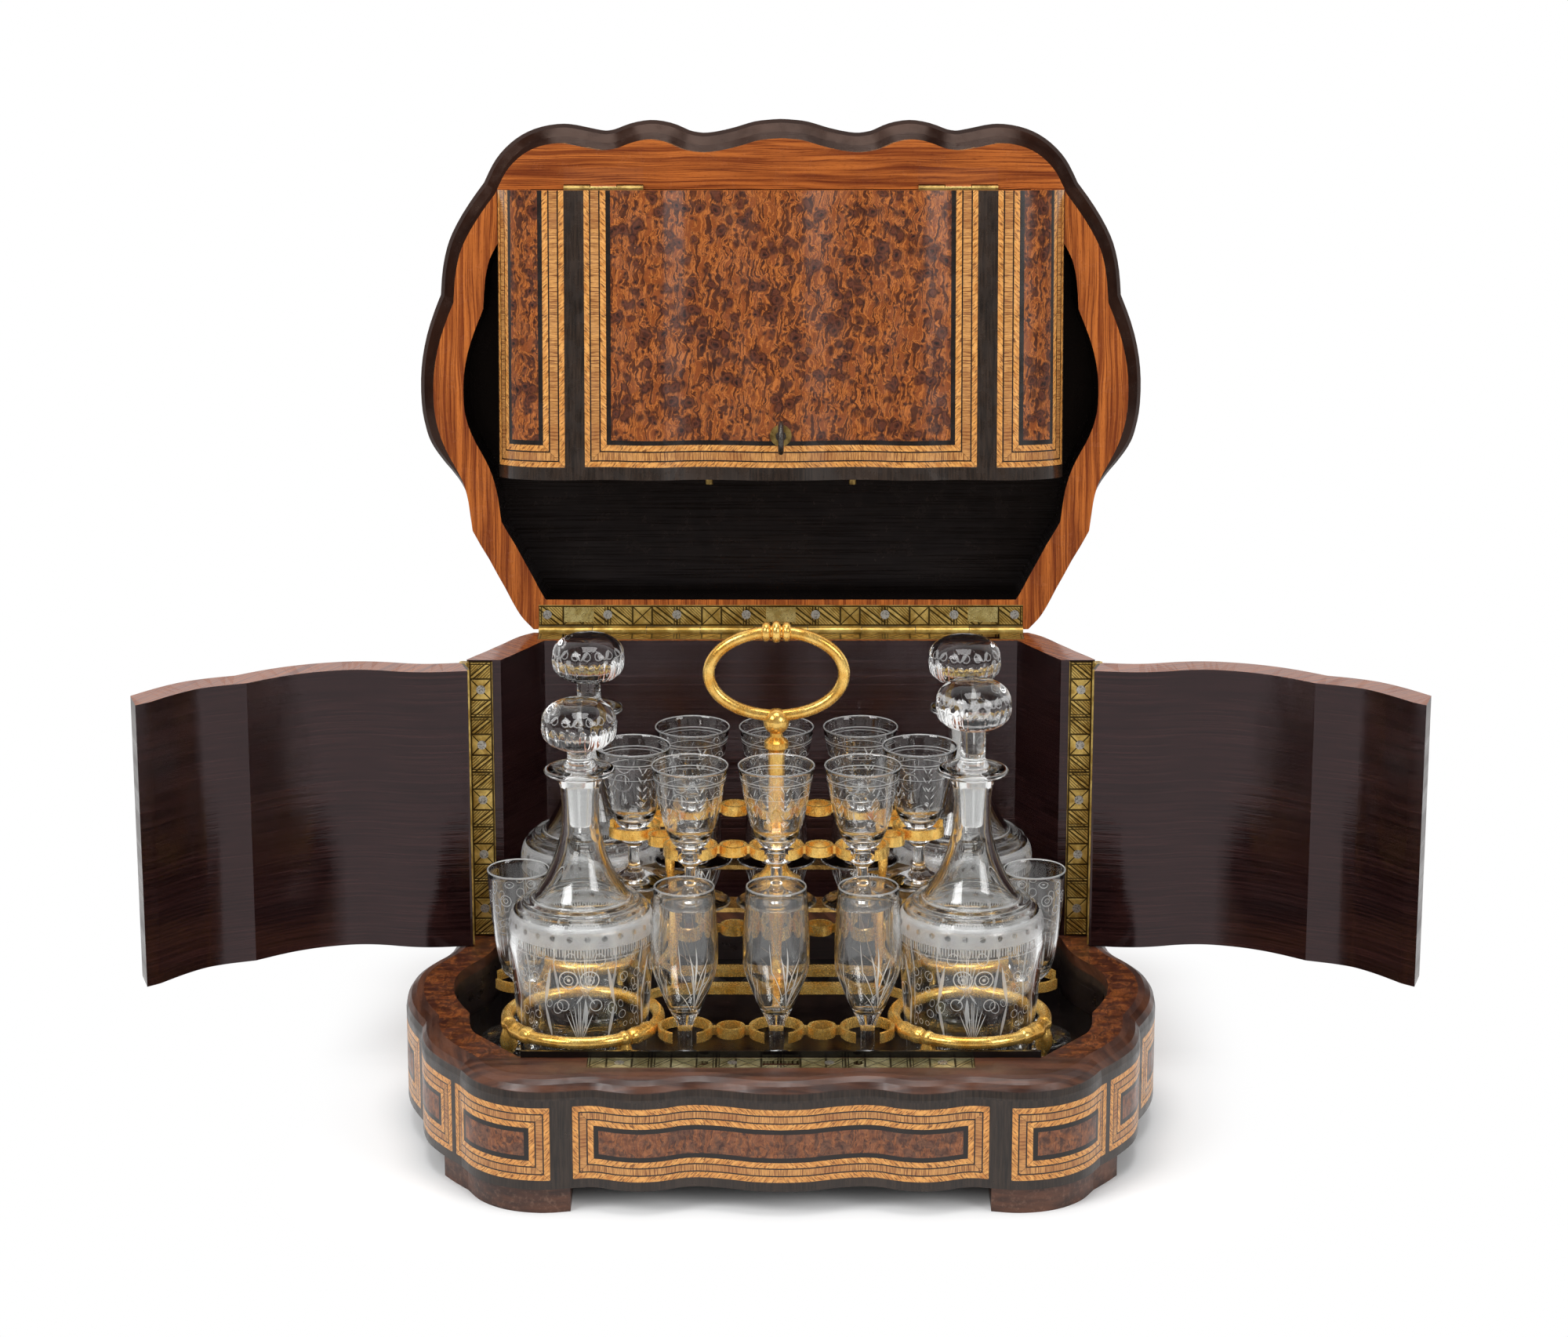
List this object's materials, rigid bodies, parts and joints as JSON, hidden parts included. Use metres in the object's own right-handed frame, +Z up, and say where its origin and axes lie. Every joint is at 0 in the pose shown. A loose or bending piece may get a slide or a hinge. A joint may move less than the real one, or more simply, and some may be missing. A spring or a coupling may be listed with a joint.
{
  "type": "liqueur cabinet",
  "caption": "Serpentine inlaid wooden drinks case, its lid, fall front and side doors open round a lift-out metal stand of stoppered carafes and stemmed glasses.",
  "frame": {"origin": "on the surface the cabinet stands on, below the middle of the box around the whole opened cabinet", "axes": "+X to the right seen from the front, +Y to the back where the lid is hinged, +Z up"},
  "size_m": [0.583, 0.328, 0.4268],
  "materials": {
    "burl": "glossy burl veneer",
    "marquetry": "glossy inlaid veneer",
    "dark_wood": "polished ebonised wood",
    "mahogany": "polished",
    "tray_black": "black lacquer",
    "old_brass": "engraved, aged",
    "gilt": "polished gilt",
    "shelf_brass": "satin",
    "steel": "worn",
    "key_steel": "dark",
    "crystal": "clear, etched"
  },
  "bodies": {
    "base": {"plinth_carcass": "marquetry", "plinth_rim": "burl", "well_floor": "mahogany", "plinth_feet": "mahogany", "front_bead": "dark_wood", "strike_strip": "old_brass", "back_wall": "dark_wood", "return_left": "burl", "return_right": "burl", "wall_hinge_leaf": "old_brass", "pillar_leaves": "old_brass", "door_pins": "old_brass", "base_screws": "steel"},
    "lid_pin": {"lid_hinge_pin": "old_brass"},
    "lid": {"lid_frame": "burl", "lid_top_panel": "marquetry", "lid_hinge_leaf": "old_brass", "stop_lugs": "old_brass", "lid_screws": "steel", "flap_rim_leaves": "old_brass"},
    "flap": {"flap_panel": "marquetry", "flap_leaves": "old_brass", "lock_fittings": "old_brass"},
    "lock_bolt": {"lock_bolt": "old_brass"},
    "key": {"key": "key_steel"},
    "door_left": {"door_left": "marquetry", "door_leaf_left": "old_brass"},
    "door_right": {"door_right": "marquetry", "door_leaf_right": "old_brass"},
    "stand": {"serving_tray": "tray_black", "lower_frame": "gilt", "shelf": "shelf_brass", "columns": "gilt", "upper_chain": "gilt", "post_handle": "gilt", "flute_front_left": "crystal", "flute_front_middle": "crystal", "flute_front_right": "crystal", "flute_back_left": "crystal", "flute_back_middle": "crystal", "flute_back_right": "crystal", "tall_glass_left": "crystal", "tall_glass_right": "crystal"},
    "carafe_front_left": {"carafe_front_left": "crystal"},
    "stopper_front_left": {"stopper_front_left": "crystal"},
    "carafe_front_right": {"carafe_front_right": "crystal"},
    "stopper_front_right": {"stopper_front_right": "crystal"},
    "carafe_back_left": {"carafe_back_left": "crystal"},
    "stopper_back_left": {"stopper_back_left": "crystal"},
    "carafe_back_right": {"carafe_back_right": "crystal"},
    "stopper_back_right": {"stopper_back_right": "crystal"},
    "goblet_front_left": {"goblet_front_left": "crystal"},
    "goblet_front_middle": {"goblet_front_middle": "crystal"},
    "goblet_front_right": {"goblet_front_right": "crystal"},
    "goblet_back_left": {"goblet_back_left": "crystal"},
    "goblet_back_middle": {"goblet_back_middle": "crystal"},
    "goblet_back_right": {"goblet_back_right": "crystal"},
    "goblet_side_left": {"goblet_side_left": "crystal"},
    "goblet_side_right": {"goblet_side_right": "crystal"}
  },
  "joints": [
    {"name": "lid_swing", "type": "hinge", "parent": "base", "child": "lid_pin", "pos_m": [0, 0.074, 0.1963], "axis": [-1, 0, 0], "range_deg": [-73.9, 0]},
    {"name": "lid_close", "type": "hinge", "parent": "lid_pin", "child": "lid", "pos_m": [0, 0.074, 0.1963], "axis": [-1, 0, 0], "range_deg": [-25, 0]},
    {"name": "flap_fold", "type": "hinge", "parent": "lid", "child": "flap", "pos_m": [0, 0.10602, 0.40081], "axis": [1, 0, 0], "range_deg": [-90, 0]},
    {"name": "key_turn", "type": "hinge", "parent": "flap", "child": "key", "pos_m": [0, 0.08261, 0.2901], "axis": [0, -0.988, 0.1547], "range_deg": [0, 90]},
    {"name": "bolt_throw", "type": "slide", "parent": "flap", "child": "lock_bolt", "axis": [0, -0.1547, -0.988], "range_m": [0, 0.0045]},
    {"name": "door_left_turn", "type": "hinge", "parent": "base", "child": "door_left", "pos_m": [-0.14596, 0.0245, 0.0617], "axis": [0, 0, -1], "range_deg": [-74, 30]},
    {"name": "door_right_turn", "type": "hinge", "parent": "base", "child": "door_right", "pos_m": [0.14596, 0.0245, 0.0617], "axis": [0, 0, 1], "range_deg": [-74, 30]},
    {"name": "stand_lift", "type": "slide", "parent": "base", "child": "stand", "axis": [0, 0, 1], "range_m": [0, 0.15]},
    {"name": "carafe_front_left_lift", "type": "slide", "parent": "stand", "child": "carafe_front_left", "axis": [0, 0, 1], "range_m": [0, 0.06]},
    {"name": "stopper_front_left_lift", "type": "slide", "parent": "carafe_front_left", "child": "stopper_front_left", "axis": [0, 0, 1], "range_m": [0, 0.04]},
    {"name": "carafe_front_right_lift", "type": "slide", "parent": "stand", "child": "carafe_front_right", "axis": [0, 0, 1], "range_m": [0, 0.06]},
    {"name": "stopper_front_right_lift", "type": "slide", "parent": "carafe_front_right", "child": "stopper_front_right", "axis": [0, 0, 1], "range_m": [0, 0.04]},
    {"name": "carafe_back_left_lift", "type": "slide", "parent": "stand", "child": "carafe_back_left", "axis": [0, 0, 1], "range_m": [0, 0.06]},
    {"name": "stopper_back_left_lift", "type": "slide", "parent": "carafe_back_left", "child": "stopper_back_left", "axis": [0, 0, 1], "range_m": [0, 0.04]},
    {"name": "carafe_back_right_lift", "type": "slide", "parent": "stand", "child": "carafe_back_right", "axis": [0, 0, 1], "range_m": [0, 0.06]},
    {"name": "stopper_back_right_lift", "type": "slide", "parent": "carafe_back_right", "child": "stopper_back_right", "axis": [0, 0, 1], "range_m": [0, 0.04]},
    {"name": "goblet_front_left_lift", "type": "slide", "parent": "stand", "child": "goblet_front_left", "axis": [0, 0, 1], "range_m": [0, 0.016]},
    {"name": "goblet_front_middle_lift", "type": "slide", "parent": "stand", "child": "goblet_front_middle", "axis": [0, 0, 1], "range_m": [0, 0.016]},
    {"name": "goblet_front_right_lift", "type": "slide", "parent": "stand", "child": "goblet_front_right", "axis": [0, 0, 1], "range_m": [0, 0.016]},
    {"name": "goblet_back_left_lift", "type": "slide", "parent": "stand", "child": "goblet_back_left", "axis": [0, 0, 1], "range_m": [0, 0.016]},
    {"name": "goblet_back_middle_lift", "type": "slide", "parent": "stand", "child": "goblet_back_middle", "axis": [0, 0, 1], "range_m": [0, 0.016]},
    {"name": "goblet_back_right_lift", "type": "slide", "parent": "stand", "child": "goblet_back_right", "axis": [0, 0, 1], "range_m": [0, 0.016]},
    {"name": "goblet_side_left_lift", "type": "slide", "parent": "stand", "child": "goblet_side_left", "axis": [0, 0, 1], "range_m": [0, 0.016]},
    {"name": "goblet_side_right_lift", "type": "slide", "parent": "stand", "child": "goblet_side_right", "axis": [0, 0, 1], "range_m": [0, 0.016]}
  ],
  "couplings": [
    {"joint": "flap_fold", "follows": "lid_swing", "ratio": 1.2179},
    {"joint": "key_turn", "follows": "bolt_throw", "rad_per_m": 349.06}
  ]
}
